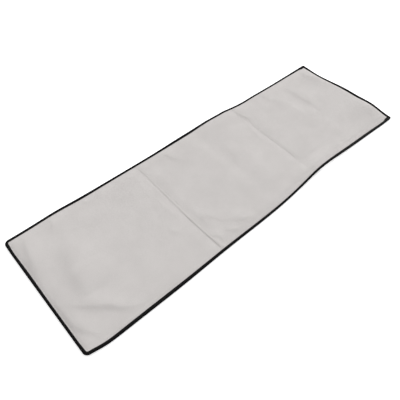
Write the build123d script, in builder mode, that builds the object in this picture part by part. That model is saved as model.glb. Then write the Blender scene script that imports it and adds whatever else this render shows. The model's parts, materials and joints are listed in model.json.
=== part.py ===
"""Folding solar blanket: three canvas-covered solar panels joined by two sewn folds.

Millimetres. +X runs along the open blanket, +Y across it and +Z up, with the cells facing down.
The origin is the middle of the open blanket, on the surface that it lies on.
"""

from build123d import *
import os
from dataclasses import dataclass

# --- Outline of the open blanket ------------------------------------------------------------
WIDTH = 560.0
PANEL_PITCH = 603.0
PANEL_COUNT = 3
HALF_LENGTH = PANEL_PITCH * PANEL_COUNT / 2
HALF_WIDTH = WIDTH / 2
SEAM_X = PANEL_PITCH / 2

# --- Folds: a sewn web with one bending line along each of its edges ------------------------
FOLD_WIDTH = 10.0  # between a fold's two bending lines
FOLD_SETBACK = 1.5  # from a bending line to the panel's own pieces
FOLD_THICK = 1.2
FOLD_TAPE_HALF_HEIGHT = 1.1
PANEL_INNER_X = SEAM_X - FOLD_WIDTH / 2 - FOLD_SETBACK  # the middle panel's half length

# --- Layers of a panel, by height above the surface -----------------------------------------
TAPE_THICK = 0.7
TAPE_FLANGE = 10.0
TAPE_HEIGHT = 6.0
CANVAS_THICK = 0.6
CLEAR_THICK = 0.35
RIBBON_THICK = 0.15
CELL_THICK = 0.25
BACKSHEET_THICK = 0.35
BOARD_THICK = 1.4
FOAM_THICK = 1.4
FRONT_TOP = TAPE_THICK + CANVAS_THICK
CLEAR_TOP = FRONT_TOP + CLEAR_THICK
RIBBON_TOP = CLEAR_TOP + RIBBON_THICK
CELL_TOP = RIBBON_TOP + CELL_THICK
BACKSHEET_TOP = CELL_TOP + BACKSHEET_THICK
BOARD_TOP = BACKSHEET_TOP + BOARD_THICK
FOAM_TOP = BOARD_TOP + FOAM_THICK
MARGIN_TOP = TAPE_HEIGHT - TAPE_THICK
PANEL_THICK = 9.0
FOLD_Z = PANEL_THICK / 2  # the bending lines lie at half the panel's thickness

# --- Cells: half-cut cells in rows that run along X -----------------------------------------
CELL_LENGTH = 62.5
CELL_WIDTH = 125.0
CELL_GAP = 2.0
CELL_CORNER = 8.0
CELLS_ALONG = 8
CELLS_ACROSS = 4
CELL_PITCH_X = CELL_LENGTH + CELL_GAP
CELL_PITCH_Y = CELL_WIDTH + CELL_GAP
ACTIVE_LENGTH = CELLS_ALONG * CELL_PITCH_X - CELL_GAP
ACTIVE_WIDTH = CELLS_ACROSS * CELL_PITCH_Y - CELL_GAP
RIBBONS_PER_ROW = 5
RIBBON_WIDTH = 1.2
BUSBAR_WIDTH = 5.0
BUSBAR_GAP = 2.0

# --- Laminate, stiffener and foam share one outline -----------------------------------------
STACK_MARGIN = 12.0  # laminate past the cells along X
STACK_SIDE_MARGIN = 9.0
STACK_LENGTH = ACTIVE_LENGTH + 2 * STACK_MARGIN
STACK_WIDTH = ACTIVE_WIDTH + 2 * STACK_SIDE_MARGIN
STACK_CORNER = 6.0
WINDOW_LIP = 4.0  # window edge past the cells
WINDOW_CORNER = 3.0
COVER_CROWN_RUN = 14.0  # width of the sloping rim of a back cover
COVER_GAP = 0.3

# --- Flat leads: two conductors that link the panels ----------------------------------------
LEAD_WIDTH = 9.0
LEAD_THICK = 0.3
LEAD_Y = 40.0
LEAD_OVERLAP = 12.0  # length soldered to the back of the laminate

# --- Output: a slim junction box and a twin cable gland in the right end margin --------------
OUTPUT_Y = -150.0
GLAND_LENGTH = 16.0
GLAND_WIDTH = 18.0
GLAND_BORE = 1.6
GLAND_BORE_PITCH = 8.0
BOX_LENGTH = 19.0
BOX_WIDTH = 84.0
BOX_CORNER = 2.0
BOX_CLEARANCE = 1.5  # from the box to the laminate
BOX_WALL = 1.2
BOX_FLOOR = 0.7
BOX_RIM_Z = 4.6
GASKET_THICK = 0.3
LID_THICK = 1.0
SCREW_RADIUS = 0.8
SCREW_HEAD_RADIUS = 1.4
SCREW_HEAD_DEPTH = 0.5
SCREW_CLEARANCE = 0.05
SCREW_LENGTH = 3.6
SCREW_PITCH_X = 13.0
SCREW_PITCH_Y = 78.0
BOSS_RADIUS = 1.7
TERMINAL_SIZE = (9.0, 8.0, 2.2)
TERMINAL_PITCH = 30.0
DIODE_SIZE = (4.6, 6.0, 1.9)
DIODE_PITCH = 12.0
DIODE_COUNT = 2

GLAND_Z = (TAPE_THICK + MARGIN_TOP) / 2
GLAND_HEIGHT = MARGIN_TOP - TAPE_THICK
BOX_X = HALF_LENGTH - GLAND_LENGTH - BOX_LENGTH / 2
BOX_LID_Z = BOX_RIM_Z + GASKET_THICK
BOX_TOP = BOX_LID_Z + LID_THICK

os.makedirs("parts", exist_ok=True)


@dataclass
class Panel:
    """One panel: its ends along X, the middle of its cells, and which ends are bound or wired."""

    name: str
    x_min: float
    x_max: float
    cells_x: float
    bound_end: int  # -1 or +1 for the end that carries binding tape, 0 for none
    lead_ends: tuple

    @property
    def length(self):
        return self.x_max - self.x_min

    @property
    def middle_x(self):
        return (self.x_min + self.x_max) / 2

    def end_x(self, side):
        return self.x_max if side > 0 else self.x_min


END_PANEL_X = SEAM_X + FOLD_WIDTH / 2 + FOLD_SETBACK
RIGHT_CELLS_X = BOX_X - BOX_LENGTH / 2 - BOX_CLEARANCE - STACK_LENGTH / 2
LEFT_CELLS_X = -(HALF_LENGTH + END_PANEL_X) / 2

RIGHT_PANEL = Panel("right", END_PANEL_X, HALF_LENGTH, RIGHT_CELLS_X, 1, (-1, 1))
PANELS = (
    Panel("left", -HALF_LENGTH, -END_PANEL_X, LEFT_CELLS_X, -1, (1,)),
    Panel("middle", -PANEL_INNER_X, PANEL_INNER_X, 0.0, 0, (-1, 1)),
    RIGHT_PANEL,
)
FOLDS = (("left", -SEAM_X), ("right", SEAM_X))


def save(builder, label):
    """Names a finished piece and writes its file."""
    builder.part.label = label
    export_step(builder.part, f"parts/{label}.step")


def block(x_min, x_max, y_min, y_max, z_min, z_max, mode=Mode.ADD):
    """A box between two corners, for use inside a BuildPart block."""
    middle = ((x_min + x_max) / 2, (y_min + y_max) / 2, (z_min + z_max) / 2)
    with Locations(middle):
        Box(x_max - x_min, y_max - y_min, z_max - z_min, mode=mode)


def slab(middle_x, length, width, z_min, z_max, corner=0.0, mode=Mode.ADD):
    """A flat layer centred across the blanket, for use inside a BuildPart block."""
    with BuildSketch(Plane.XY.offset(z_min)) as outline:
        with Locations((middle_x, 0)):
            if corner:
                RectangleRounded(length, width, corner)
            else:
                Rectangle(length, width)
    extrude(outline.sketch, amount=z_max - z_min, mode=mode)


def lead_spans(panel):
    """The ends along X of each pair of leads, from over the laminate to the panel's edge."""
    spans = []
    for side in panel.lead_ends:
        stack_end = panel.cells_x + side * STACK_LENGTH / 2
        lands_on_box = side == panel.bound_end
        outer = BOX_X - TERMINAL_SIZE[0] / 2 if lands_on_box else panel.end_x(side)
        inner = stack_end - side * LEAD_OVERLAP
        spans.append((min(inner, outer), max(inner, outer), lands_on_box))
    return spans


def lead_blocks(panel, mode=Mode.ADD):
    """The flat leads of a panel. The pair at the bound end meets the junction box's terminals."""
    for x_min, x_max, lands_on_box in lead_spans(panel):
        middle_y = OUTPUT_Y if lands_on_box else 0.0
        reach_y = TERMINAL_PITCH / 2 if lands_on_box else LEAD_Y
        for side in (-1, 1):
            y = middle_y + side * reach_y
            block(
                x_min, x_max, y - LEAD_WIDTH / 2, y + LEAD_WIDTH / 2,
                BACKSHEET_TOP, BACKSHEET_TOP + LEAD_THICK, mode,
            )


def output_space(mode):
    """The space of the junction box and the gland, cut from the pieces around them."""
    block(
        BOX_X - BOX_LENGTH / 2, BOX_X + BOX_LENGTH / 2,
        OUTPUT_Y - BOX_WIDTH / 2, OUTPUT_Y + BOX_WIDTH / 2, FRONT_TOP, BOX_TOP + COVER_GAP, mode,
    )
    block(
        HALF_LENGTH - GLAND_LENGTH, HALF_LENGTH, OUTPUT_Y - GLAND_WIDTH / 2,
        OUTPUT_Y + GLAND_WIDTH / 2, TAPE_THICK, MARGIN_TOP, mode,
    )


# --- Panel pieces -----------------------------------------------------------------------------


def front_cover(panel):
    """Canvas frame under a panel, with the window that the cells look through."""
    side = panel.bound_end
    x_min = panel.x_min + (TAPE_THICK if side < 0 else 0)
    x_max = panel.x_max - (TAPE_THICK if side > 0 else 0)
    with BuildPart() as cover:
        slab((x_min + x_max) / 2, x_max - x_min, WIDTH - 2 * TAPE_THICK, TAPE_THICK, FRONT_TOP)
        slab(
            panel.cells_x, ACTIVE_LENGTH + 2 * WINDOW_LIP, ACTIVE_WIDTH + 2 * WINDOW_LIP,
            TAPE_THICK, FRONT_TOP, WINDOW_CORNER, Mode.SUBTRACT,
        )
        if side > 0:
            output_space(Mode.SUBTRACT)
    save(cover, f"{panel.name}_front_cover")


def clear_sheet(panel):
    """Clear film over the cells' sunny side."""
    with BuildPart() as film:
        slab(panel.cells_x, STACK_LENGTH, STACK_WIDTH, FRONT_TOP, CLEAR_TOP, STACK_CORNER)
    save(film, f"{panel.name}_clear_front_sheet")


def cell_ribbons(panel):
    """Soldered ribbons along each row of cells, and a busbar across each end of the rows."""
    row_pitch = CELL_WIDTH / RIBBONS_PER_ROW
    with BuildPart() as ribbons:
        for row in range(CELLS_ACROSS):
            row_y = (row - (CELLS_ACROSS - 1) / 2) * CELL_PITCH_Y
            with BuildSketch(Plane.XY.offset(CLEAR_TOP)):
                with Locations((panel.cells_x, row_y)):
                    with GridLocations(0, row_pitch, 1, RIBBONS_PER_ROW):
                        Rectangle(ACTIVE_LENGTH + 2 * BUSBAR_GAP, RIBBON_WIDTH)
            extrude(amount=RIBBON_TOP - CLEAR_TOP)
        for side in (-1, 1):
            middle = ACTIVE_LENGTH / 2 + BUSBAR_GAP + BUSBAR_WIDTH / 2
            slab(
                panel.cells_x + side * middle, BUSBAR_WIDTH, ACTIVE_WIDTH - 2 * CELL_CORNER,
                CLEAR_TOP, RIBBON_TOP,
            )
    save(ribbons, f"{panel.name}_cell_ribbons")


def solar_cells(panel):
    """Half-cut cells with the two cropped corners of the round wafer."""
    with BuildSketch() as cell:
        Rectangle(CELL_LENGTH, CELL_WIDTH)
        chamfer(cell.vertices().group_by(Axis.X)[-1], CELL_CORNER)
    with BuildPart() as cells:
        with BuildSketch(Plane.XY.offset(RIBBON_TOP)):
            with Locations((panel.cells_x, 0)):
                with GridLocations(CELL_PITCH_X, CELL_PITCH_Y, CELLS_ALONG, CELLS_ACROSS):
                    add(cell.sketch)
        extrude(amount=CELL_TOP - RIBBON_TOP)
    save(cells, f"{panel.name}_solar_cells")


def laminate_backsheet(panel):
    """Opaque film behind the cells."""
    with BuildPart() as film:
        slab(panel.cells_x, STACK_LENGTH, STACK_WIDTH, CELL_TOP, BACKSHEET_TOP, STACK_CORNER)
    save(film, f"{panel.name}_laminate_backsheet")


def panel_leads(panel):
    """Flat leads from the laminate to the folds and to the junction box."""
    with BuildPart() as leads:
        lead_blocks(panel)
    save(leads, f"{panel.name}_panel_leads")


def stiffener_board(panel):
    """Board that keeps the cells from bending, notched over the soldered leads."""
    with BuildPart() as board:
        slab(panel.cells_x, STACK_LENGTH, STACK_WIDTH, BACKSHEET_TOP, BOARD_TOP, STACK_CORNER)
        lead_blocks(panel, Mode.SUBTRACT)
    save(board, f"{panel.name}_stiffener_board")


def foam_pad(panel):
    """Thin foam between the board and the back cover."""
    with BuildPart() as foam:
        slab(panel.cells_x, STACK_LENGTH, STACK_WIDTH, BOARD_TOP, FOAM_TOP, STACK_CORNER)
    save(foam, f"{panel.name}_foam_pad")


def back_cover(panel):
    """Canvas back of a panel as one soft solid: edge margins, a pocket and a crowned top."""
    side = panel.bound_end
    x_min = panel.x_min + (TAPE_THICK if side < 0 else 0)
    x_max = panel.x_max - (TAPE_THICK if side > 0 else 0)
    rim = TAPE_FLANGE + COVER_GAP
    crown = rim + COVER_CROWN_RUN
    with BuildPart() as cover:
        slab((x_min + x_max) / 2, x_max - x_min, WIDTH - 2 * TAPE_THICK, FRONT_TOP, MARGIN_TOP)
        with BuildSketch(Plane.XY.offset(MARGIN_TOP)):
            with Locations((panel.middle_x, 0)):
                Rectangle(panel.length - 2 * rim, WIDTH - 2 * rim)
        with BuildSketch(Plane.XY.offset(PANEL_THICK)):
            with Locations((panel.middle_x, 0)):
                Rectangle(panel.length - 2 * crown, WIDTH - 2 * crown)
        loft()
        slab(
            panel.cells_x, STACK_LENGTH, STACK_WIDTH, FRONT_TOP, FOAM_TOP,
            STACK_CORNER, Mode.SUBTRACT,
        )
        lead_blocks(panel, Mode.SUBTRACT)
        if side > 0:
            output_space(Mode.SUBTRACT)
    save(cover, f"{panel.name}_back_cover")


def tape_profile(middle):
    """C-section of the binding tape, opening towards -X of the sketch plane, edge at middle."""
    with Locations((middle - TAPE_FLANGE / 2, TAPE_HEIGHT / 2)):
        Rectangle(TAPE_FLANGE, TAPE_HEIGHT)
    with Locations((middle - TAPE_FLANGE / 2 - TAPE_THICK / 2, TAPE_HEIGHT / 2)):
        Rectangle(TAPE_FLANGE - TAPE_THICK, MARGIN_TOP - TAPE_THICK, mode=Mode.SUBTRACT)


def mitre(corner_x, corner_y, keep_x, keep_y):
    """Cuts a tape at 45 degrees through a corner and keeps the side of the given direction."""
    cut = Plane(origin=(corner_x, corner_y, 0), x_dir=(0, 0, 1), z_dir=(keep_x, keep_y, 0))
    split(bisect_by=cut, keep=Keep.TOP)


def side_binding(panel, side_name, side):
    """Binding tape folded over one long edge of a panel."""
    profile_plane = Plane(origin=(panel.x_min, 0, 0), x_dir=(0, side, 0), z_dir=(side, 0, 0))
    with BuildPart() as tape:
        with BuildSketch(profile_plane):
            tape_profile(HALF_WIDTH)
        extrude(amount=side * panel.length)
        if panel.bound_end:
            end = panel.bound_end
            mitre(panel.end_x(end), side * HALF_WIDTH, -end, side)
    save(tape, f"{panel.name}_{side_name}_binding")


def end_binding(panel):
    """Binding tape folded over the free end of an end panel."""
    end = panel.bound_end
    profile_plane = Plane(origin=(0, end * HALF_WIDTH, 0), x_dir=(end, 0, 0), z_dir=(0, -end, 0))
    with BuildPart() as tape:
        with BuildSketch(profile_plane):
            tape_profile(HALF_LENGTH)
        extrude(amount=WIDTH)
        for side in (-1, 1):
            mitre(end * HALF_LENGTH, side * HALF_WIDTH, end, -side)
        if end > 0:
            output_space(Mode.SUBTRACT)
    save(tape, f"{panel.name}_end_binding")


# --- Fold pieces --------------------------------------------------------------------------------


def fold_pieces(name, seam_x):
    """One fold: two canvas strips sewn together, the jumpers between them, and end tapes."""
    x_min, x_max = seam_x - FOLD_WIDTH / 2, seam_x + FOLD_WIDTH / 2
    z_min, z_max = FOLD_Z - FOLD_THICK / 2, FOLD_Z + FOLD_THICK / 2
    half_width = HALF_WIDTH - TAPE_THICK
    jumper = LEAD_WIDTH / 2

    with BuildPart() as back:
        block(x_min, x_max, -half_width, half_width, FOLD_Z, z_max)
    save(back, f"{name}_fold_web_back")

    with BuildPart() as jumpers:
        for side in (-1, 1):
            y = side * LEAD_Y
            block(x_min, x_max, y - jumper, y + jumper, FOLD_Z - LEAD_THICK, FOLD_Z)
    save(jumpers, f"{name}_fold_jumpers")

    with BuildPart() as front:
        block(x_min, x_max, -half_width, half_width, z_min, FOLD_Z)
        for side in (-1, 1):
            y = side * LEAD_Y
            block(
                x_min, x_max, y - jumper, y + jumper, FOLD_Z - LEAD_THICK, FOLD_Z,
                Mode.SUBTRACT,
            )
    save(front, f"{name}_fold_web_front")

    with BuildPart() as tape:
        low, high = FOLD_Z - FOLD_TAPE_HALF_HEIGHT, FOLD_Z + FOLD_TAPE_HALF_HEIGHT
        for side in (-1, 1):
            y_outer, y_inner = side * HALF_WIDTH, side * (HALF_WIDTH - TAPE_FLANGE)
            block(x_min, x_max, min(y_outer, y_inner), max(y_outer, y_inner), low, high)
        block(x_min, x_max, -half_width, half_width, z_min, z_max, Mode.SUBTRACT)
    save(tape, f"{name}_fold_binding")


# --- Output pieces ------------------------------------------------------------------------------


def box_outline(z, inset=0.0):
    """Outline of the junction box at a height."""
    with BuildSketch(Plane.XY.offset(z)) as outline:
        with Locations((BOX_X, OUTPUT_Y)):
            RectangleRounded(BOX_LENGTH - 2 * inset, BOX_WIDTH - 2 * inset, BOX_CORNER - inset)
    return outline.sketch


def screw_circles(z, radius):
    """The four screw places of the junction box, as circles at a height."""
    with BuildSketch(Plane.XY.offset(z)) as circles:
        with Locations((BOX_X, OUTPUT_Y)):
            with GridLocations(SCREW_PITCH_X, SCREW_PITCH_Y, 2, 2):
                Circle(radius)
    return circles.sketch


def junction_box():
    """Tray, gasket, lid and screws of the slim box that the outgoing leads start from."""
    inside_z = FRONT_TOP + BOX_FLOOR
    boss_z = inside_z - BOX_FLOOR / 2
    screw_z = BOX_TOP - SCREW_LENGTH
    head_z = BOX_TOP - SCREW_HEAD_DEPTH
    hole = SCREW_RADIUS + SCREW_CLEARANCE
    sink = SCREW_HEAD_RADIUS + SCREW_CLEARANCE
    with BuildPart() as base:
        extrude(box_outline(FRONT_TOP), amount=BOX_RIM_Z - FRONT_TOP)
        extrude(box_outline(inside_z, BOX_WALL), amount=BOX_RIM_Z - inside_z, mode=Mode.SUBTRACT)
        extrude(screw_circles(boss_z, BOSS_RADIUS), amount=BOX_RIM_Z - boss_z)
        extrude(screw_circles(screw_z, hole), amount=SCREW_LENGTH, mode=Mode.SUBTRACT)
        wall_x = BOX_X + BOX_LENGTH / 2
        slot_half = GLAND_BORE_PITCH / 2 + GLAND_BORE
        block(
            wall_x - BOX_WALL, wall_x, OUTPUT_Y - slot_half, OUTPUT_Y + slot_half,
            inside_z, BOX_RIM_Z, Mode.SUBTRACT,
        )
        lead_blocks(RIGHT_PANEL, Mode.SUBTRACT)
    save(base, "junction_box_base")

    with BuildPart() as gasket:
        extrude(box_outline(BOX_RIM_Z), amount=GASKET_THICK)
        extrude(box_outline(BOX_RIM_Z, BOX_WALL), amount=GASKET_THICK, mode=Mode.SUBTRACT)
    save(gasket, "junction_box_gasket")

    with BuildPart() as lid:
        extrude(box_outline(BOX_LID_Z), amount=LID_THICK)
        extrude(screw_circles(BOX_LID_Z, hole), amount=LID_THICK, mode=Mode.SUBTRACT)
        extrude(screw_circles(head_z, sink), amount=SCREW_HEAD_DEPTH, mode=Mode.SUBTRACT)
    save(lid, "junction_box_lid")

    with BuildPart() as screws:
        extrude(screw_circles(screw_z, SCREW_RADIUS), amount=SCREW_LENGTH)
        extrude(screw_circles(head_z, SCREW_HEAD_RADIUS), amount=SCREW_HEAD_DEPTH)
    save(screws, "junction_box_screws")


def box_contents():
    """The two output terminals and the bypass diodes, standing on the box's floor."""
    floor_z = FRONT_TOP + BOX_FLOOR
    with BuildPart() as terminals:
        with Locations((BOX_X, OUTPUT_Y, floor_z)):
            with GridLocations(0, TERMINAL_PITCH, 1, 2):
                Box(*TERMINAL_SIZE, align=(Align.CENTER, Align.CENTER, Align.MIN))
    save(terminals, "output_terminals")

    with BuildPart() as diodes:
        with Locations((BOX_X, OUTPUT_Y, floor_z)):
            with GridLocations(0, DIODE_PITCH, 1, DIODE_COUNT):
                Box(*DIODE_SIZE, align=(Align.CENTER, Align.CENTER, Align.MIN))
    save(diodes, "bypass_diodes")


def cable_gland():
    """Flat moulded gland with two bores, flush with the blanket's right end."""
    with BuildPart() as gland:
        block(
            HALF_LENGTH - GLAND_LENGTH, HALF_LENGTH, OUTPUT_Y - GLAND_WIDTH / 2,
            OUTPUT_Y + GLAND_WIDTH / 2, TAPE_THICK, MARGIN_TOP,
        )
        with BuildSketch(Plane.YZ.offset(HALF_LENGTH)):
            with Locations((OUTPUT_Y, GLAND_Z)):
                with GridLocations(GLAND_BORE_PITCH, 0, 2, 1):
                    Circle(GLAND_BORE)
        extrude(amount=-GLAND_LENGTH, mode=Mode.SUBTRACT)
    save(gland, "cable_gland")


for panel in PANELS:
    front_cover(panel)
    clear_sheet(panel)
    cell_ribbons(panel)
    solar_cells(panel)
    laminate_backsheet(panel)
    panel_leads(panel)
    stiffener_board(panel)
    foam_pad(panel)
    back_cover(panel)
    side_binding(panel, "near", -1)
    side_binding(panel, "far", 1)
    if panel.bound_end:
        end_binding(panel)

for fold_name, fold_x in FOLDS:
    fold_pieces(fold_name, fold_x)

junction_box()
box_contents()
cable_gland()
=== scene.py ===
"""Looks of the folding solar blanket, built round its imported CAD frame.

The canvas covers, their binding tape and the thread are soft pieces made here. The laminate, the
cells and the output fittings are CAD pieces that get finished materials. Sizes are in millimetres in
the sections that shape cloth, and turn into metres where a mesh is made.
"""

import json
import math

import bmesh
import bpy
import numpy as np
from mathutils import Matrix, Vector


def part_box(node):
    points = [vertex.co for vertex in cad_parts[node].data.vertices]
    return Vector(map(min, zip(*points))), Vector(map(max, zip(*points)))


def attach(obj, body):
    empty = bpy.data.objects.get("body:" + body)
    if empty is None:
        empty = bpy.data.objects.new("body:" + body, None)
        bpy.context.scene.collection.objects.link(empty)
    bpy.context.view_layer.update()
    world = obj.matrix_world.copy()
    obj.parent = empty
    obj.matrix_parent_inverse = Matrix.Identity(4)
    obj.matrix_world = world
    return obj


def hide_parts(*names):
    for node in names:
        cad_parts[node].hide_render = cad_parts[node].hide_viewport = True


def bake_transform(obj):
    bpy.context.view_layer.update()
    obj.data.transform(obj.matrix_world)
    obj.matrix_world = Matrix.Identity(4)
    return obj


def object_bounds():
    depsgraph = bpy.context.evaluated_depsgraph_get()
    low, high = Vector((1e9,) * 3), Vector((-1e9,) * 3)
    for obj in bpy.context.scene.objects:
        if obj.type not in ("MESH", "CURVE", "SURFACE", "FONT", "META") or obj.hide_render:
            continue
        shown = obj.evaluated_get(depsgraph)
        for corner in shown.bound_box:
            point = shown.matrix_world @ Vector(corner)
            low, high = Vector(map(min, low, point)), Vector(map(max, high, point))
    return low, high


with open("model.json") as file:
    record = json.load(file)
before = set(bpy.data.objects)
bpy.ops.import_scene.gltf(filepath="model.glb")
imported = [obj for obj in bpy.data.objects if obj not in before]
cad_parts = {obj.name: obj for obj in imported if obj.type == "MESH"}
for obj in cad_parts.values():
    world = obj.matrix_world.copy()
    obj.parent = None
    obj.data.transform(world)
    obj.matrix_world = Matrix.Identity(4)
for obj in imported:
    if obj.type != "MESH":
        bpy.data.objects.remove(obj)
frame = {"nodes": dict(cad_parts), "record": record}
cad_low, cad_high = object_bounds()

MM = 0.001

# --- The blanket's plan, from the frame -------------------------------------------------------
LENGTH_HALF = cad_high.x / MM
WIDTH_HALF = cad_high.y / MM
SEAM = (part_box("middle_back_cover")[1].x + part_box("right_back_cover")[0].x) / 2 / MM
PANEL_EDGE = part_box("middle_back_cover")[1].x / MM
STACK_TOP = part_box("middle_foam_pad")[1].z / MM
FILM_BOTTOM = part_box("middle_clear_front_sheet")[0].z / MM
TAPE_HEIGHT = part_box("middle_near_binding")[1].z / MM
TAPE_WIDTH = (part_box("middle_near_binding")[1].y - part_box("middle_near_binding")[0].y) / MM
GLAND_LOW, GLAND_HIGH = (corner.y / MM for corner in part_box("cable_gland"))

# --- Cloth ------------------------------------------------------------------------------------
CANVAS_THICK = 0.6
TAPE_THICK = 0.7
COVER_HEM = 4.9  # top of the back cover where the tape holds it
HELD_RISE, HELD_RUN = 0.5, 9.0  # the canvas springs up from under the tape
PAD_RISE = 0.9  # from there to the top of the padded panel
RIM_RUN_SIDE, RIM_RUN_END = 34.0, 15.0  # width of a panel's rounded rim, along the blanket and at its ends
HEM_LAP = 6.5  # how far an end cover laps past the fold onto the middle panel
GRID = 4.0
FINE_GRID = 0.8


def ease(t):
    """A smooth step from 0 to 1."""
    t = np.clip(t, 0.0, 1.0)
    return t * t * (3 - 2 * t)


def bump(x, centre, width, amount):
    """A smooth rise of that amount at the centre, fading over the width."""
    return amount * np.exp(-(((x - centre) / width) ** 2) / 2)


# --- How the blanket lies: its edges sway a little and lift near the second fold --------------


def near_sway(x):
    broad = bump(x, -500, 150, -4) + bump(x, -40, 150, -5) + bump(x, 385, 125, 11) + bump(x, 880, 110, -9)
    return broad + bump(x, -905, 40, 13) + bump(x, 200, 80, 2.4) + bump(x, 315, 60, 2)


def far_sway(x):
    outward = bump(x, 125, 80, 8) + bump(x, -30, 70, 4) + bump(x, 250, 26, 3)
    return outward + bump(x, 600, 150, -4) + bump(x, 375, 45, -3) + bump(x, -690, 60, 4)


def left_sway(y):
    return bump(y, 285, 30, 2)


def right_sway(y):
    drawn_in = 4.5 * ease((y + 255) / 90) - 25.5 * ease((y + 65) / 260)
    return drawn_in + bump(y, 20, 70, 6) + bump(y, 275, 35, 4)


def near_lift(x):
    return bump(x, 312, np.where(x < 312, 75, 110), 6) + bump(x, 420, 120, 2) + bump(x, -300, 40, 0.6)


def far_lift(x):
    return bump(x, 205, 85, 4.5) + bump(x, -110, 80, 2)


def outlet_swell(y):
    """How far the upper cloth at the right end swells over the output box and its gland, and how
    far it rises over the padding where the end is drawn in."""
    return bump(y, -155, 48, 8.5) + bump(y, 200, 90, 0.9)


def corner_swell(x):
    """How far the upper cloth rises over the padding's corner, where the near edge is drawn in."""
    return bump(x, -878, 30, 1.3)


def seam_shift(side, y):
    """How far a fold's stitched line strays from straight, along X."""
    if side < 0:
        return bump(y, -70, 120, -5) + bump(y, -WIDTH_HALF, 60, 3)
    return bump(y, -WIDTH_HALF, 110, 5) + bump(y, 60, 60, -1.5)


OUTLET_REACH = 2.2  # how much further in than the edges' lift the swell at the outlet is felt
CORNER_RADIUS = {(-1, -1): 18.0, (-1, 1): 18.0, (1, -1): 10.0, (1, 1): 5.0}


def round_corners(x, y):
    """Draws the square plan in to rounded corners."""
    x, y = x.copy(), y.copy()
    for (side_x, side_y), radius in CORNER_RADIUS.items():
        u = side_x * x - (LENGTH_HALF - radius)
        v = side_y * y - (WIDTH_HALF - radius)
        inside = (u > 0) & (v > 0)
        shrink = np.where(inside, np.maximum(u, v) / np.maximum(np.hypot(u, v), 1e-6), 1.0)
        x = np.where(inside, side_x * (LENGTH_HALF - radius + u * shrink), x)
        y = np.where(inside, side_y * (WIDTH_HALF - radius + v * shrink), y)
    return x, y


def tape_wander(x, y):
    """How much wider the hand-guided tape is than its nominal width, round the blanket."""
    near = 0.8 + bump(x, -600, 170, 2.2) + bump(x, 640, 170, 2.6) + bump(x, 130, 120, -1.4)
    far = 1.8 + bump(x, -20, 80, 3.2) + bump(x, -580, 70, 1.4) + bump(x, 850, 60, 2)
    right = 5.6 + bump(y, -50, 80, 3.4) + bump(y, 160, 45, -1.5)
    left = bump(y, 110, 70, 1.3)
    across = ease((np.abs(y) - 225) / 45) * np.where(np.asarray(y) < 0, near, far)
    return across + ease((x - 850) / 40) * right + ease((-x - 850) / 40) * left


def lie(x, y, sway_reach, lift_reach, raised=1.0):
    """Where a point of the flat plan lies: its place in plan, and how far it is lifted.
    The reaches say how far in from the tape the edges' sway and lift are felt. raised is the share
    of the swellings that a point feels: 1 on the upper cloth, and 0 on the lower."""
    near = WIDTH_HALF - TAPE_WIDTH + y
    far = WIDTH_HALF - TAPE_WIDTH - y
    left = LENGTH_HALF - TAPE_WIDTH + x
    right = LENGTH_HALF - TAPE_WIDTH - x

    def felt(distance, reach):
        return 1 - ease(distance / reach)

    swell = felt(right, OUTLET_REACH * lift_reach) * outlet_swell(y)
    swell = swell + felt(near, lift_reach) * corner_swell(x)
    lift = felt(near, lift_reach) * near_lift(x) + felt(far, lift_reach) * far_lift(x) + raised * swell
    round_x, round_y = round_corners(x, y)
    moved_x = round_x + felt(left, sway_reach) * left_sway(y) + felt(right, sway_reach) * right_sway(y)
    moved_y = round_y + felt(near, sway_reach) * near_sway(x) + felt(far, sway_reach) * far_sway(x)
    return moved_x, moved_y, lift


# --- Creases and dents in the back covers, placed on each panel as shares of its length and width


def along(points, count=48):
    """Points spread along a smooth curve through three or more given ones."""
    points = np.array(points, float)
    t = np.linspace(0, len(points) - 1, count)
    first = np.clip(t.astype(int), 0, len(points) - 2)
    share = (t - first)[:, None]
    padded = np.vstack([2 * points[0] - points[1], points, 2 * points[-1] - points[-2]])
    p0, p1, p2, p3 = (padded[first + i] for i in range(4))
    return 0.5 * (
        2 * p1 + (p2 - p0) * share + (2 * p0 - 5 * p1 + 4 * p2 - p3) * share**2
        + (3 * p1 - p0 - 3 * p2 + p3) * share**3
    )


PANEL_LEFT = {"left": -LENGTH_HALF, "middle": -SEAM, "right": SEAM}
PANEL_LONG = 2 * SEAM


def on_panel(panel, s, t):
    return PANEL_LEFT[panel] + s * PANEL_LONG, -WIDTH_HALF + t * 2 * WIDTH_HALF


def fold(x, y, panel, steep, gentle, height, route):
    """A soft fold of slack canvas. The route is the middle of its steep side, which shades it, and its
    crest is on the route's left, from where it falls away gently."""
    path = along([on_panel(panel, s, t) for s, t in route])
    reach = steep + 3.5 * gentle
    rise = np.zeros_like(x)
    near = (
        (x > path[:, 0].min() - reach) & (x < path[:, 0].max() + reach)
        & (y > path[:, 1].min() - reach) & (y < path[:, 1].max() + reach)
    )
    if not near.any():
        return rise
    gap_x = x[near][:, None] - path[None, :, 0]
    gap_y = y[near][:, None] - path[None, :, 1]
    closest = np.hypot(gap_x, gap_y).argmin(1)
    rows = np.arange(len(closest))
    gap_x, gap_y = gap_x[rows, closest], gap_y[rows, closest]
    heading = np.gradient(path, axis=0)
    heading = (heading / np.linalg.norm(heading, axis=1, keepdims=True))[closest]
    past_crest = heading[:, 0] * gap_y - heading[:, 1] * gap_x - steep
    past_end = heading[:, 0] * gap_x + heading[:, 1] * gap_y
    fade = np.sin(np.pi * (0.05 + 0.9 * closest / (len(path) - 1))) ** 0.7
    fade *= np.exp(-((past_end / (steep + gentle / 3)) ** 2) / 2)
    width = np.where(past_crest < 0, steep, gentle)
    rise[near] = height * fade * np.exp(-((past_crest / width) ** 2) / 2)
    return rise


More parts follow.
